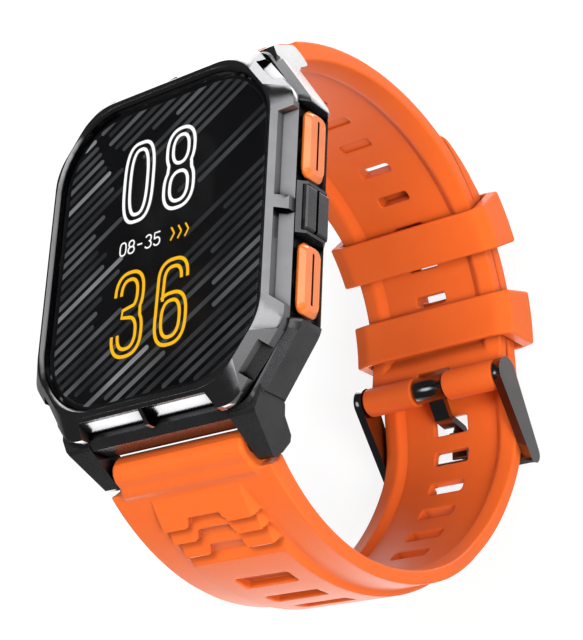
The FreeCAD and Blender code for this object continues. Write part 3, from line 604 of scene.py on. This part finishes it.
def paint(name, base, other=None, metallic=0.0, rough=0.5, spread=0.06, mottle=250.0,
          grain=0.0, grain_scale=9000.0, flake=0.0, coat=0.0, skin_glow=0.0, specular=0.5,
          shade_reach=0.0, shade_level=0.05, powder=0.0, coat_ior=1.5):
    """A surface with a mottled colour, an uneven gloss, a fine grain and, where asked, painted
    shade darkening its creases and recesses.
    """
    m, tree, out = blank(name)
    b = node(tree, "ShaderNodeBsdfPrincipled")
    tree.links.new(b.outputs["BSDF"], out.inputs["Surface"])
    coords = node(tree, "ShaderNodeTexCoord").outputs["Object"]
    other = other or tuple(c * 0.8 for c in base)
    broad = noise(tree, coords, mottle)
    fine = noise(tree, coords, grain_scale, 2.0)
    colour = mix(tree, ramp(tree, broad, 0.35, 0.65), base, other)
    if flake:
        dots = node(tree, "ShaderNodeTexVoronoi")
        dots.inputs["Scale"].default_value = grain_scale * 0.6
        tree.links.new(coords, dots.inputs["Vector"])
        spark = ramp(tree, dots.outputs["Distance"], 0.16, 0.05)
        pick = ramp(tree, noise(tree, coords, grain_scale * 0.5, 0.0), 0.6, 0.64)
        few = node(tree, "ShaderNodeMath", operation="MULTIPLY")
        tree.links.new(spark, few.inputs[0])
        tree.links.new(pick, few.inputs[1])
        scaled = node(tree, "ShaderNodeMath", operation="MULTIPLY")
        scaled.inputs[1].default_value = flake
        tree.links.new(few.outputs[0], scaled.inputs[0])
        bright = tuple(min(1.0, c * 3 + 0.35) for c in base)
        colour = mix(tree, scaled.outputs[0], colour, bright)
    # Painted shade: where the surface is occluded within the given reach, its colour darkens to
    # the given fraction of itself, standing in for shade in creases and recesses.
    if shade_reach:
        shade = node(tree, "ShaderNodeAmbientOcclusion")
        shade.inputs["Distance"].default_value = shade_reach * MM
        clear = ramp(tree, shade.outputs["AO"], 0.60, 0.97)
        colour = mix(tree, clear, tuple(c * shade_level for c in base), colour)
    tree.links.new(colour, b.inputs["Base Color"])
    b.inputs["Sheen Weight"].default_value = powder
    b.inputs["Sheen Roughness"].default_value = 0.4
    gloss = ramp(tree, fine, 0.3, 0.7, max(0.02, rough - spread), rough + spread)
    tree.links.new(gloss, b.inputs["Roughness"])
    b.inputs["Metallic"].default_value = metallic
    b.inputs["Specular IOR Level"].default_value = specular
    b.inputs["Coat Weight"].default_value = coat
    b.inputs["Coat Roughness"].default_value = 0.08
    b.inputs["Coat IOR"].default_value = coat_ior
    if skin_glow:
        b.inputs["Subsurface Weight"].default_value = skin_glow
        b.inputs["Subsurface Radius"].default_value = (1.0, 0.35, 0.12)
        b.inputs["Subsurface Scale"].default_value = 0.0012
    if grain:
        bump = node(tree, "ShaderNodeBump")
        bump.inputs["Strength"].default_value = grain
        bump.inputs["Distance"].default_value = 0.00002
        tree.links.new(fine, bump.inputs["Height"])
        tree.links.new(bump.outputs["Normal"], b.inputs["Normal"])
    return m


def glow(name, colour, strength, fade=0.0):
    """Lit part of the display, with a slow fade."""
    m, tree, out = blank(name)
    e = node(tree, "ShaderNodeEmission")
    coords = node(tree, "ShaderNodeTexCoord").outputs["Object"]
    cloud = noise(tree, coords, 120.0, 1.0)
    colour_out = mix(tree, ramp(tree, cloud, 0.35, 0.7, 0.0, fade), colour,
                     tuple(c * 0.35 for c in colour))
    tree.links.new(colour_out, e.inputs["Color"])
    e.inputs["Strength"].default_value = strength
    tree.links.new(e.outputs[0], out.inputs["Surface"])
    return m


def glass(name):
    """Clear cover glass: see-through, with a faint reflection."""
    m, tree, out = blank(name)
    clear = node(tree, "ShaderNodeBsdfTransparent")
    shine = node(tree, "ShaderNodeBsdfGlossy")
    coords = node(tree, "ShaderNodeTexCoord").outputs["Object"]
    smear = ramp(tree, noise(tree, coords, 90.0), 0.4, 0.7, 0.02, 0.06)
    tree.links.new(smear, shine.inputs["Roughness"])
    fresnel = node(tree, "ShaderNodeFresnel")
    fresnel.inputs["IOR"].default_value = 1.2
    blend = node(tree, "ShaderNodeMixShader")
    for socket, source in zip(blend.inputs, (fresnel, clear, shine)):
        tree.links.new(source.outputs[0], socket)
    tree.links.new(blend.outputs[0], out.inputs["Surface"])
    return m


ORANGE = (0.90, 0.152, 0.022)
ORANGE_DEEP = (0.885, 0.147, 0.021)
# Bezel, housing, silicone and buttons get painted shade in their creases and recesses.
MATERIALS = {
    "gunmetal": paint("Gunmetal", (0.36, 0.36, 0.37), (0.32, 0.32, 0.33), metallic=1.0,
                      rough=0.18, spread=0.03, grain=0.08, flake=0.3, shade_reach=4.0),
    "case_grey": paint("Housing", (0.155, 0.155, 0.16), (0.13, 0.13, 0.135), metallic=0.92,
                       rough=0.26, spread=0.04, grain=0.15, flake=0.5, shade_reach=1.0),
    "display_glass": glass("Glass"),
    "display_black": paint("Panel", (0.004, 0.004, 0.005), rough=0.35, spread=0.02),
    "orange_silicone": paint("Silicone", ORANGE, ORANGE_DEEP, rough=0.5, grain=0.3,
                             grain_scale=14000.0, skin_glow=0.06, specular=0.35,
                             powder=0.05, shade_reach=1.5, shade_level=0.65),
    "orange_button": paint("Button", (0.92, 0.21, 0.025), (0.88, 0.18, 0.02), rough=0.22,
                           grain=0.05, coat=1.0, specular=0.8, shade_reach=1.0, coat_ior=2.0),
    "buckle_black": paint("Buckle", (0.22, 0.22, 0.225), (0.19, 0.19, 0.195),
                          metallic=1.0, rough=0.17, spread=0.03, grain=0.05, coat=0.8),
    "steel": paint("Steel", (0.55, 0.55, 0.56), (0.42, 0.42, 0.44), metallic=1.0, rough=0.28,
                   grain=0.2),
    "board_green": paint("Board", (0.012, 0.085, 0.035), (0.02, 0.12, 0.05), rough=0.45,
                         mottle=900.0, grain=0.3),
    "chip_black": paint("Chip", (0.015, 0.015, 0.017), rough=0.55, grain=0.5),
    "foil": paint("Foil", (0.62, 0.63, 0.66), (0.5, 0.5, 0.53), metallic=0.9, rough=0.35,
                  mottle=700.0, grain=0.6, grain_scale=2500.0),
    "flex_amber": paint("Flex", (0.45, 0.16, 0.02), (0.35, 0.11, 0.015), rough=0.3,
                        mottle=1500.0),
    "seal_black": paint("Seal", (0.02, 0.02, 0.021), rough=0.7, grain=0.4),
    "gold": paint("Gold", (0.83, 0.58, 0.22), (0.7, 0.45, 0.15), metallic=1.0, rough=0.22,
                  grain=0.1),
    "back_black": paint("Back", (0.022, 0.022, 0.024), (0.016, 0.016, 0.018), rough=0.38,
                        grain=0.35),
    "sensor_dark": paint("Sensor", (0.006, 0.006, 0.008), rough=0.08, spread=0.02, coat=0.8),
    "diode_pale": paint("Diode", (0.75, 0.72, 0.55), (0.6, 0.66, 0.4), rough=0.3,
                        mottle=2500.0),
}


# ---- put materials on the CAD nodes -------------------------------------
SLOTS = {
    "bezel": "gunmetal", "mid_case": "case_grey", "button_guard": "case_grey",
    "cover_glass": "display_glass", "display_glue": "seal_black",
    "display_panel": "display_black", "display_tray": "back_black",
    "display_flex": "flex_amber", "gps_antenna": "gold", "main_board": "board_green",
    "processor_shield": "foil", "board_chips": "chip_black", "battery": "foil",
    "battery_pad": "seal_black", "battery_socket": "chip_black", "beeper": "steel",
    "button_switches": "steel", "button_flex": "flex_amber", "button_seals": "seal_black",
    "upper_button": "orange_button", "lower_button": "orange_button",
    "upper_button_clip": "steel", "lower_button_clip": "steel", "pressure_vent": "steel",
    "motor_can": "steel", "motor_shaft": "steel", "motor_weight": "steel",
    "back_cover": "back_black", "back_gasket": "seal_black", "back_screws": "steel",
    "sensor_window": "sensor_dark", "sensor_board": "board_green",
    "light_wall": "seal_black", "sensor_leds": "diode_pale",
    "sensor_detectors": "sensor_dark", "charging_pads": "gold",
    "upper_bar_tube": "steel", "lower_bar_tube": "steel", "upper_bar_spring": "steel",
    "lower_bar_spring": "steel", "upper_pin_left": "steel", "upper_pin_right": "steel",
    "lower_pin_left": "steel", "lower_pin_right": "steel",
    "buckle_frame": "buckle_black", "buckle_bar": "steel", "buckle_tongue": "buckle_black",
}
BEVELS = {"bezel": 0.12, "mid_case": 0.12, "button_guard": 0.12, "buckle_frame": 0.22,
          "buckle_tongue": 0.15, "upper_button": 0.2, "lower_button": 0.2}


def soften(obj, width):
    """Rounds the machined edges a little."""
    weld = obj.modifiers.new("Weld", "WELD")
    weld.merge_threshold = 0.000002
    bevel = obj.modifiers.new("Edges", "BEVEL")
    bevel.width = width * MM
    bevel.segments = 2
    bevel.limit_method = "ANGLE"
    bevel.angle_limit = math.radians(32)
    bevel.harden_normals = True
    bevel.use_clamp_overlap = True


for part, kind in SLOTS.items():
    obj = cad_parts[part]
    obj.data.materials.clear()
    obj.data.materials.append(MATERIALS[kind])
    if part in BEVELS:
        soften(obj, BEVELS[part])


# ---- soft pieces --------------------------------------------------------
def add_soft(obj, body, part):
    obj.data.materials.append(MATERIALS["orange_silicone"])
    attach(obj, body)
    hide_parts(part)


COARSE = 1.0
GRID = (0.25 * COARSE, 0.3 * COARSE, 0.18 * COARSE)
LONG_GRID = (0.262 * COARSE, 0.318 * COARSE, 0.18 * COARSE)
upper = skin("strap_short_soft", short_run, short_field, (-13.2, -3.0, -2.0),
             (13.2, short_run.length + 7.0, 5.2), GRID)
add_soft(upper, "upper_strap", "strap_upper")
lower = skin("strap_long_soft", both_runs, long_field, (-13.2, TIP - 0.8, -2.0),
             (13.2, long_run.length + 7.0, 5.4), LONG_GRID)
add_soft(lower, "lower_strap", "strap_lower")
near = keeper("keeper_near_soft", *KEEPER_NEAR)
add_soft(near, "near_keeper", "keeper_near")
far = keeper("keeper_far_soft", *KEEPER_FAR)
add_soft(far, "far_keeper", "keeper_far")


# ---- display image, laid just under the glass ---------------------------
IMAGE_Z = GLASS_LOW + 0.03
ACTIVE = (16.4, 20.0, 8.6)        # half width, half length, corner radius


def flat_piece(name, polygons, z, kinds, thick=0.02):
    """Thin plates from outlines in the display plane."""
    verts, faces, picks = [], [], []
    for outline, pick in polygons:
        n = len(outline)
        base = len(verts)
        verts += [(x * MM, y * MM, z * MM) for x, y in outline]
        verts += [(x * MM, y * MM, (z - thick) * MM) for x, y in outline]
        faces.append(tuple(range(base, base + n)))
        faces.append(tuple(range(base + 2 * n - 1, base + n - 1, -1)))
        faces += [(base + (i + 1) % n, base + i, base + n + i, base + n + (i + 1) % n)
                  for i in range(n)]
        picks += [pick] * (n + 2)
    mesh = bpy.data.meshes.new(name)
    mesh.from_pydata(verts, [], faces)
    for kind in kinds:
        mesh.materials.append(kind)
    mesh.polygons.foreach_set("material_index", picks)
    mesh.update()
    obj = bpy.data.objects.new(name, mesh)
    bpy.context.scene.collection.objects.link(obj)
    return obj


def ribbon(path, width, closed):
    """Quads along a stroke of the given width."""
    n = len(path)
    sides = []
    for i, (x, y) in enumerate(path):
        ax, ay = path[i - 1] if closed or i else path[0]
        bx, by = path[(i + 1) % n] if closed or i < n - 1 else path[-1]
        tx, ty = bx - ax, by - ay
        size = math.hypot(tx, ty) or 1
        nx, ny = -ty / size * width / 2, tx / size * width / 2
        sides.append(((x + nx, y + ny), (x - nx, y - ny)))
    strips = []
    for i in range(n if closed else n - 1):
        (a, b), (c, d) = sides[i], sides[(i + 1) % n]
        strips.append([b, d, c, a])
    return strips


def oval(cx, cy, rx, ry, power=2.6, start=0.0, stop=360.0, steps=56):
    """Superellipse arc, angles anticlockwise from +x."""
    points = []
    full = stop - start >= 360
    for i in range(steps + (0 if full else 1)):
        a = math.radians(start + (stop - start) * i / steps)
        c, s = math.cos(a), math.sin(a)
        points.append((cx + rx * math.copysign(abs(c) ** (2 / power), c),
                       cy + ry * math.copysign(abs(s) ** (2 / power), s)))
    return points


def bend(corners, r, steps):
    """Open path through corners, each turned on a radius."""
    points = [corners[0]]
    for a, b, c in zip(corners, corners[1:], corners[2:]):
        va = Vector(a) - Vector(b)
        vc = Vector(c) - Vector(b)
        cutoff = min(r, va.length * 0.5, vc.length * 0.5)
        p = Vector(b) + va.normalized() * cutoff
        q = Vector(b) + vc.normalized() * cutoff
        for i in range(steps + 1):
            t = i / steps
            m = p * (1 - t) ** 2 + Vector(b) * 2 * t * (1 - t) + q * t * t
            points.append((m.x, m.y))
    points.append(corners[-1])
    return points


DIGIT = (5.35, 11.7)              # width and height of a large digit
STROKE = 0.46
GAP = 0.98                        # between the two lines of a digit


HALF_DIGIT = (DIGIT[0] / 2 - STROKE / 2, DIGIT[1] / 2 - STROKE / 2)


def zero(cx, cy):
    w, h = HALF_DIGIT
    return [(oval(cx, cy, w, h, 3.0), True), (oval(cx, cy, w - GAP, h - GAP, 2.7), True)]


def eight(cx, cy):
    w, h = HALF_DIGIT
    top = (cy + h * 0.47, h * 0.53, w * 0.93)
    low = (cy - h * 0.46, h * 0.54, w)
    right_top = oval(cx, top[0], top[2], top[1], 2.4, -38, 90, 24)
    right_low = oval(cx, low[0], low[2], low[1], 2.5, -90, 40, 24)
    right = right_low + right_top
    left = [(2 * cx - x, y) for x, y in reversed(right)]
    outer = right + left[1:-1]
    return [(outer, True), (oval(cx, top[0], top[2] - GAP, top[1] - GAP, 2.3), True),
            (oval(cx, low[0], low[2] - GAP, low[1] - GAP, 2.4), True)]


def three(cx, cy):
    w, h = HALF_DIGIT
    top = (cy + h * 0.47, h * 0.53)
    low = (cy - h * 0.46, h * 0.54)
    outer = list(reversed(oval(cx, top[0], w * 0.95, top[1], 2.5, -36, 180, 40)))
    outer += list(reversed(oval(cx, low[0], w, low[1], 2.5, -180, 38, 40)))
    inner_top = oval(cx, top[0], w * 0.95 - GAP, top[1] - GAP, 2.4, -52, 180, 36)
    inner = list(reversed(inner_top))
    inner += [(cx - w * 0.38, cy + h * 0.11), (cx - w * 0.42, cy - h * 0.06)]
    inner += list(reversed(oval(cx, low[0], w - GAP, low[1] - GAP, 2.4, -180, 76, 36)))
    return [(outer, False), (inner, False)]


def six(cx, cy):
    w, h = HALF_DIGIT
    low = (cy - h * 0.40, h * 0.60)
    top = (cy + h * 0.50, h * 0.50)
    outer = oval(cx, top[0], w * 0.96, top[1], 2.6, 0, 168, 34)
    outer += oval(cx, low[0], w, low[1], 2.6, 172, 360, 40)
    outer += oval(cx, low[0], w, low[1], 2.6, 0, 128, 26)
    inner = oval(cx, top[0], w * 0.96 - GAP, top[1] - GAP, 2.5, 0, 176, 30)
    inner += [(cx - w + GAP, cy + h * 0.05)]
    bowl = oval(cx, low[0], w - GAP, low[1] - GAP, 2.5)
    return [(outer, False), (inner, False), (bowl, True)]


def small(pattern, cx, cy, w, h):
    """Small plain numerals drawn with one line."""
    w, h = w / 2, h / 2
    if pattern == "0":
        return [(oval(cx, cy, w, h, 2.8, steps=32), True)]
    if pattern == "8":
        return [(oval(cx, cy + h * 0.5, w * 0.85, h * 0.5, 2.2, steps=28), True),
                (oval(cx, cy - h * 0.48, w, h * 0.52, 2.2, steps=28), True)]
    if pattern == "3":
        top = list(reversed(oval(cx, cy + h * 0.5, w * 0.9, h * 0.5, 2.3, -60, 160, 20)))
        low = list(reversed(oval(cx, cy - h * 0.48, w, h * 0.52, 2.3, -160, 80, 20)))
        return [(top + low, False)]
    if pattern == "5":
        bowl = list(reversed(oval(cx, cy - h * 0.4, w, h * 0.6, 2.3, -160, 140, 26)))
        return [([(cx + w, cy + h), (cx - w * 0.8, cy + h)] + bowl, False)]
    return [([(cx - w * 0.8, cy), (cx + w * 0.8, cy)], False)]


def numerals():
    """Time in large outlined digits, a small date and three chevrons."""
    plates = []
    row_top, row_low = 9.55, -8.75
    for strokes, tone in ((zero(-4.2, row_top), 0), (eight(2.7, row_top), 0),
                          (three(-4.15, row_low), 1), (six(2.95, row_low), 1)):
        for path, closed in strokes:
            plates += [(quad, tone) for quad in ribbon(path, STROKE, closed)]
    for i, mark in enumerate("08-35"):
        cx = -5.95 + 1.42 * i
        for path, closed in small(mark, cx, 0.45, 1.0, 1.75):
            plates += [(quad, 0) for quad in ribbon(path, 0.2, closed)]
    for i in range(3):
        cx = 2.35 + 1.15 * i
        bar = bend([(cx - 0.3, -0.45), (cx + 0.25, 0.45), (cx - 0.3, 1.35)], 0.15, 4)
        plates += [(quad, 1) for quad in ribbon(bar, 0.24, False)]
    return plates


def active_gap(x, y):
    """Signed distance to the edge of the lit area; below 0 is inside."""
    hx, hy, r = ACTIVE
    qx = abs(x) - hx + r
    qy = abs(y) - hy + r
    return math.hypot(max(qx, 0), max(qy, 0)) + min(max(qx, qy), 0) - r


def capsule(x0, y0, x1, y1, r, steps=6):
    """Outline of a bar with round ends."""
    a = math.atan2(y1 - y0, x1 - x0)
    points = []
    for cx, cy, start in ((x1, y1, a - math.pi / 2), (x0, y0, a + math.pi / 2)):
        for i in range(steps + 1):
            t = start + math.pi * i / steps
            points.append((cx + r * math.cos(t), cy + r * math.sin(t)))
    return points


def stripes():
    """Slanting light streaks that start at the edges and stop short of the middle."""
    dice = random.Random(11)
    lean = math.radians(31.0)
    ux, uy = math.cos(lean), math.sin(lean)
    pitch = 1.30
    plates = []
    for i in range(-19, 20):
        ox, oy = -uy * i * pitch, ux * i * pitch
        inside = [u / 10 for u in range(-300, 301)
                  if active_gap(ox + ux * u / 10, oy + uy * u / 10) < 0]
        if len(inside) < 12:
            continue
        u0, u1 = inside[0] - 0.5, inside[-1] + 0.5
        span = u1 - u0
        low_right = i < -3
        left = dice.uniform(0.16, 0.42) * span
        right = dice.uniform(0.18, 0.5) * span
        tone = dice.choice((0, 1, 1, 2, 2, 3))
        spans = [(u0, u0 + left, tone)]
        if dice.random() < (0.95 if low_right or i > 6 else 0.55):
            spans.append((u1 - right, u1, dice.choice((1, 2, 2, 3))))
        if low_right and dice.random() < 0.7:
            spans = [(u0 + dice.uniform(0, 0.12) * span, u1, dice.choice((2, 3, 3)))]
        for a, b, pick in spans:
            plates.append((capsule(ox + ux * a, oy + uy * a, ox + ux * b, oy + uy * b, 0.33),
                           pick))
    return plates


def border():
    """Printed black edge that frames the lit area."""
    hx, hy, r = ACTIVE
    inner, outer = [], []
    for i in range(96):
        a = math.radians(360 * i / 96)
        c, s = math.cos(a), math.sin(a)
        for ring, x, y, radius in ((inner, hx, hy, r),
                                   (outer, GLASS_HALF.x - 0.12, GLASS_HALF.y - 0.12, 9.7)):
            ring.append((math.copysign(x - radius, c) + radius * c,
                         math.copysign(y - radius, s) + radius * s))
    return [([inner[i], outer[i], outer[(i + 1) % 96], inner[(i + 1) % 96]], 0)
            for i in range(96)]


streaks = flat_piece("display_streaks", stripes(), IMAGE_Z,
                     [glow("StreakBright", (0.25, 0.255, 0.265), 1.0, 0.9),
                      glow("StreakMid", (0.125, 0.128, 0.134), 1.0, 0.9),
                      glow("StreakDim", (0.065, 0.067, 0.07), 1.0, 0.9),
                      glow("StreakFaint", (0.036, 0.037, 0.039), 1.0, 0.8)])
digits = flat_piece("display_numerals", numerals(), IMAGE_Z + 0.04,
                    [glow("DigitWhite", (1.0, 1.0, 1.0), 1.05),
                     glow("DigitAmber", (1.0, 0.53, 0.012), 1.0)])
mask = flat_piece("display_border", border(), IMAGE_Z + 0.08, [MATERIALS["display_black"]])
for piece in (streaks, digits, mask):
    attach(piece, "case")


# ---- stage, light and camera --------------------------------------------
scene = bpy.context.scene
FLOOR_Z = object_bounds()[0].z - 0.0006


def area_light(name, at, aim, size, power):
    """Soft light that is not seen in reflections."""
    data = bpy.data.lights.new(name, "AREA")
    data.shape = "RECTANGLE"
    data.size, data.size_y = size, size
    data.energy = power
    lamp = bpy.data.objects.new(name, data)
    lamp.location = Vector(at)
    lamp.rotation_euler = (Vector(aim) - Vector(at)).to_track_quat("-Z", "Y").to_euler()
    scene.collection.objects.link(lamp)
    lamp.visible_glossy = False


# soft boxes seen in reflections: direction, where it starts and is full (cosine), strength
BOXES = (((0.70, 0.40, 0.58), 0.86, 0.97, 1.05), ((-0.10, 0.90, -0.42), 0.74, 0.88, 3.4),
         ((-0.58, -0.40, -0.71), 0.86, 0.95, 4.2), ((0.58, 0.40, -0.71), 0.88, 0.99, 0.20),
         ((0.45, -0.15, 0.88), 0.90, 0.98, 1.6), ((-0.58, -0.15, 0.80), 0.970, 0.992, 2.2))
DIM = 0.045                       # the rest of the room in reflections
PLAIN_FLOOR = (0.32, 0.32, 0.32)
PLAIN_ROOM = (0.30, 0.30, 0.30)
FLOOR_HALF = 3.0


def studio(tree, direction):
    """Brightness of the room in a direction, for reflections."""
    total = None
    for aim, start, full, strength in BOXES:
        dot = node(tree, "ShaderNodeVectorMath", operation="DOT_PRODUCT")
        tree.links.new(direction, dot.inputs[0])
        dot.inputs[1].default_value = Vector(aim).normalized()
        light = ramp(tree, dot.outputs["Value"], start, full, 0.0, strength)
        if total is None:
            total = light
            continue
        add = node(tree, "ShaderNodeMath", operation="ADD")
        tree.links.new(total, add.inputs[0])
        tree.links.new(light, add.inputs[1])
        total = add.outputs[0]
    lift = node(tree, "ShaderNodeMath", operation="ADD")
    tree.links.new(total, lift.inputs[0])
    lift.inputs[1].default_value = DIM
    grey = node(tree, "ShaderNodeCombineColor")
    for i in range(3):
        tree.links.new(lift.outputs[0], grey.inputs[i])
    return grey.outputs[0]


def room(tree, direction, plain):
    """White to the camera, soft boxes to reflections, even light to everything else."""
    path = node(tree, "ShaderNodeLightPath")
    shine = mix(tree, path.outputs["Is Glossy Ray"], plain, studio(tree, direction))
    return mix(tree, path.outputs["Is Camera Ray"], shine, (1.0, 1.0, 1.0))


def make_floor():
    """Large pale floor that the object stands on."""
    mesh = bpy.data.meshes.new("floor")
    signs = ((-1, -1), (1, -1), (1, 1), (-1, 1))
    mesh.from_pydata([(a * FLOOR_HALF, b * FLOOR_HALF, FLOOR_Z) for a, b in signs],
                     [], [(0, 1, 2, 3)])
    floor = bpy.data.objects.new("floor", mesh)
    scene.collection.objects.link(floor)
    m, tree, out = blank("Floor")
    matt = node(tree, "ShaderNodeBsdfDiffuse")
    matt.inputs["Color"].default_value = (0.22, 0.22, 0.22, 1)
    lit = node(tree, "ShaderNodeEmission")
    lit.inputs["Strength"].default_value = 0.86
    back = node(tree, "ShaderNodeVectorMath", operation="SCALE")
    tree.links.new(node(tree, "ShaderNodeNewGeometry").outputs["Incoming"], back.inputs[0])
    back.inputs["Scale"].default_value = -1.0
    tree.links.new(room(tree, back.outputs[0], PLAIN_FLOOR), lit.inputs["Color"])
    total = node(tree, "ShaderNodeAddShader")
    tree.links.new(matt.outputs[0], total.inputs[0])
    tree.links.new(lit.outputs[0], total.inputs[1])
    tree.links.new(total.outputs[0], out.inputs["Surface"])
    mesh.materials.append(m)


def make_world():
    """Room light: white behind the object, soft boxes in reflections."""
    world = bpy.data.worlds.new("Studio")
    scene.world = world
    world.use_nodes = True
    tree = world.node_tree
    tree.nodes.clear()
    out = node(tree, "ShaderNodeOutputWorld")
    back = node(tree, "ShaderNodeBackground")
    tree.links.new(back.outputs[0], out.inputs["Surface"])
    coords = node(tree, "ShaderNodeTexCoord").outputs["Generated"]
    tree.links.new(room(tree, coords, PLAIN_ROOM), back.inputs["Color"])
    back.inputs["Strength"].default_value = 1.0


make_floor()
make_world()
area_light("Key", (0.16, 0.02, 0.58), (0, 0, -0.03), 0.22, 2.3)
area_light("Fill", (0.55, -0.30, 0.33), (0, 0, -0.04), 0.3, 4.4)

camera_data = bpy.data.cameras.new("Camera")
camera_data.lens = 94.88
camera_data.sensor_width = 36.0
camera_data.clip_start = 0.01
camera = bpy.data.objects.new("Camera", camera_data)
RIGHT = Vector((0.78789793, 0.04066568, -0.61446168))
UP = Vector((0.2152608, 0.91668147, 0.3366866))
BACK = Vector((0.57695723, -0.39754418, 0.71349771))
AT = Vector((0.13032, -0.09053, 0.13342))
camera.matrix_world = Matrix(((RIGHT.x, UP.x, BACK.x, AT.x), (RIGHT.y, UP.y, BACK.y, AT.y),
                              (RIGHT.z, UP.z, BACK.z, AT.z), (0, 0, 0, 1)))
scene.collection.objects.link(camera)
scene.camera = camera
scene.view_settings.view_transform = "Standard"
